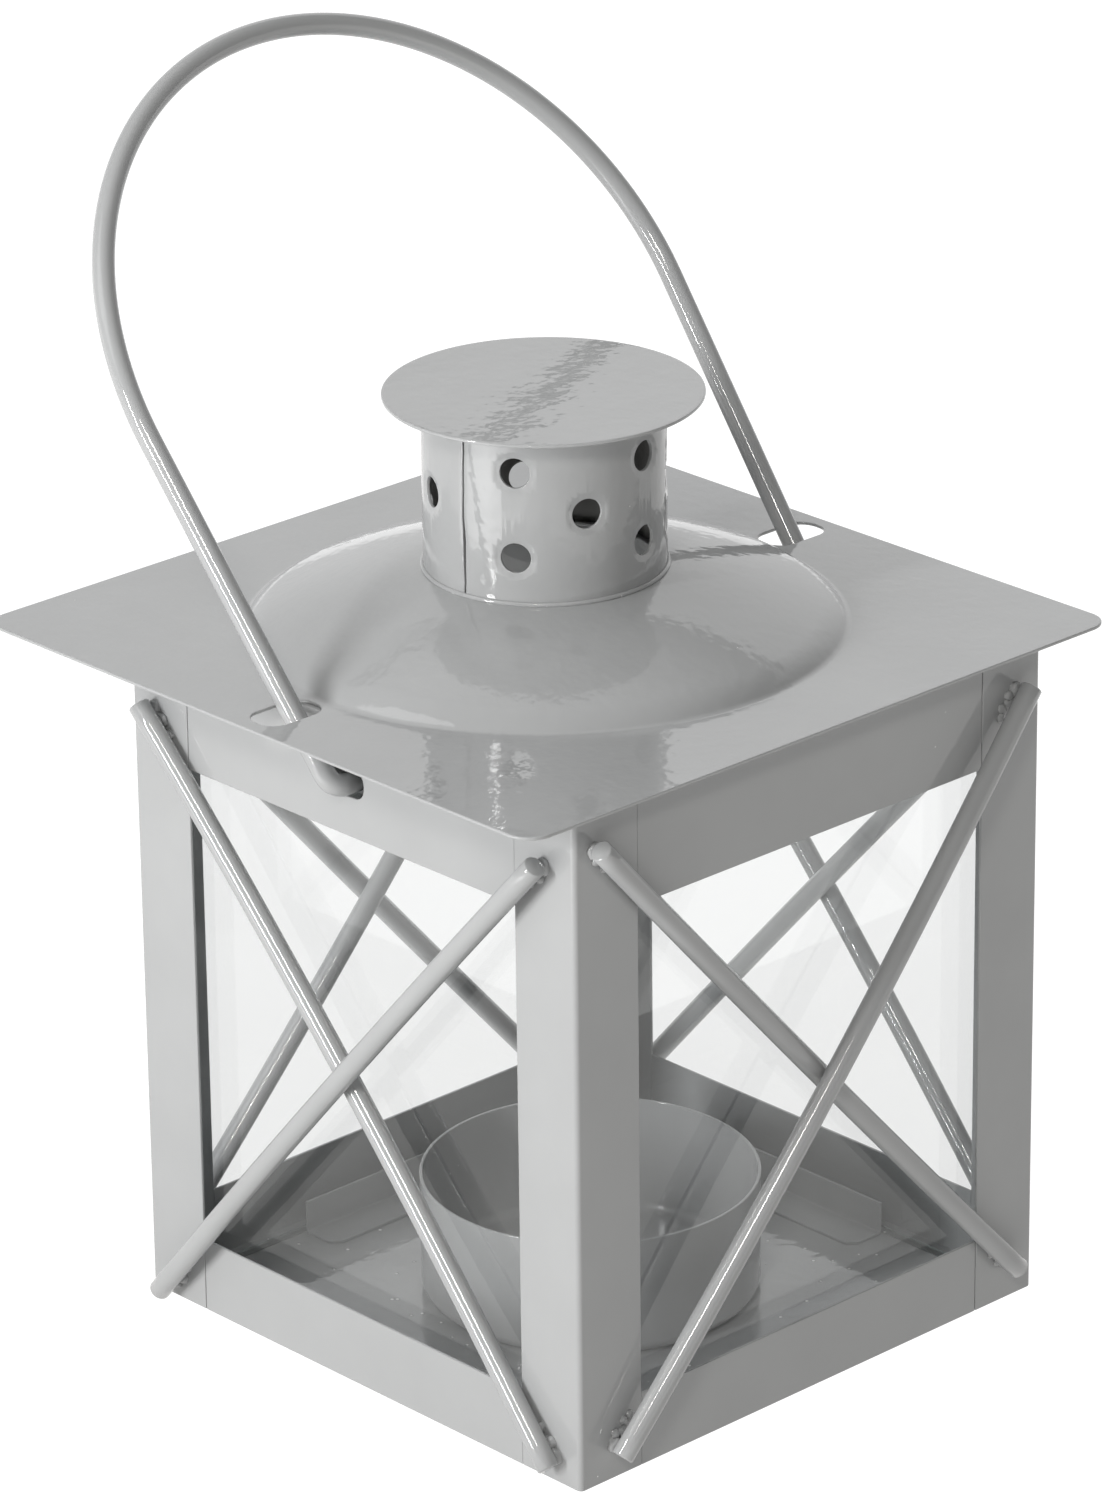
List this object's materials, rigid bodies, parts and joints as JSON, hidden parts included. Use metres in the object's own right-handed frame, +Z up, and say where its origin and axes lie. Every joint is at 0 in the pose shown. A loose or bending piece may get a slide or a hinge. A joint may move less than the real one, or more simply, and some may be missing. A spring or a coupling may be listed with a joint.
{
  "type": "lantern",
  "caption": "Square tealight lantern of painted sheet metal with glass sides, crossed wire braces, a loose domed lid with a punched chimney, and a swinging wire bail.",
  "frame": {"origin": "centre of the underside of the floor, on the surface that the lantern stands on", "axes": "+Z up; -Y is the front and -X the left side; the bail hinges about X and leans towards +Y at rest"},
  "size_m": [0.1186, 0.1243, 0.1863],
  "materials": {
    "body_paint": "glossy light grey paint on sheet steel",
    "lid_paint": "glossy light grey paint on sheet steel",
    "wire_paint": "glossy light grey paint on steel wire",
    "pane_glass": "clear sheet glass"
  },
  "bodies": {
    "body": {"corner_post_front_left": "body_paint", "corner_post_front_right": "body_paint", "corner_post_back_right": "body_paint", "corner_post_back_left": "body_paint", "top_rail_left": "body_paint", "top_rail_front": "body_paint", "top_rail_right": "body_paint", "top_rail_back": "body_paint", "bottom_rail_left": "body_paint", "bottom_rail_front": "body_paint", "bottom_rail_right": "body_paint", "bottom_rail_back": "body_paint", "floor_plate": "body_paint", "tealight_cup": "body_paint", "glass_pane_left": "pane_glass", "glass_pane_front": "pane_glass", "glass_pane_right": "pane_glass", "glass_pane_back": "pane_glass", "glass_clip_left": "body_paint", "glass_clip_front": "body_paint", "glass_clip_right": "body_paint", "glass_clip_back": "body_paint", "brace_under_left": "wire_paint", "brace_over_left": "wire_paint", "brace_under_front": "wire_paint", "brace_over_front": "wire_paint", "brace_under_right": "wire_paint", "brace_over_right": "wire_paint", "brace_under_back": "wire_paint", "brace_over_back": "wire_paint"},
    "lid": {"roof_plate": "lid_paint", "chimney_collar": "lid_paint", "chimney_cap": "lid_paint"},
    "bail": {"wire_bail": "wire_paint"}
  },
  "joints": [
    {"name": "bail_swing", "type": "hinge", "parent": "body", "child": "bail", "pos_m": [0, 0, 0.097], "axis": [1, 0, 0], "range_deg": [-9.7, 86.3]},
    {"name": "lid_shift", "type": "slide", "parent": "body", "child": "lid", "axis": [0, -1, 0], "range_m": [-0.0024, 0.019]}
  ],
  "couplings": [
    {"joint": "lid_shift", "follows": "bail_swing", "m_per_rad": 0.0124}
  ]
}
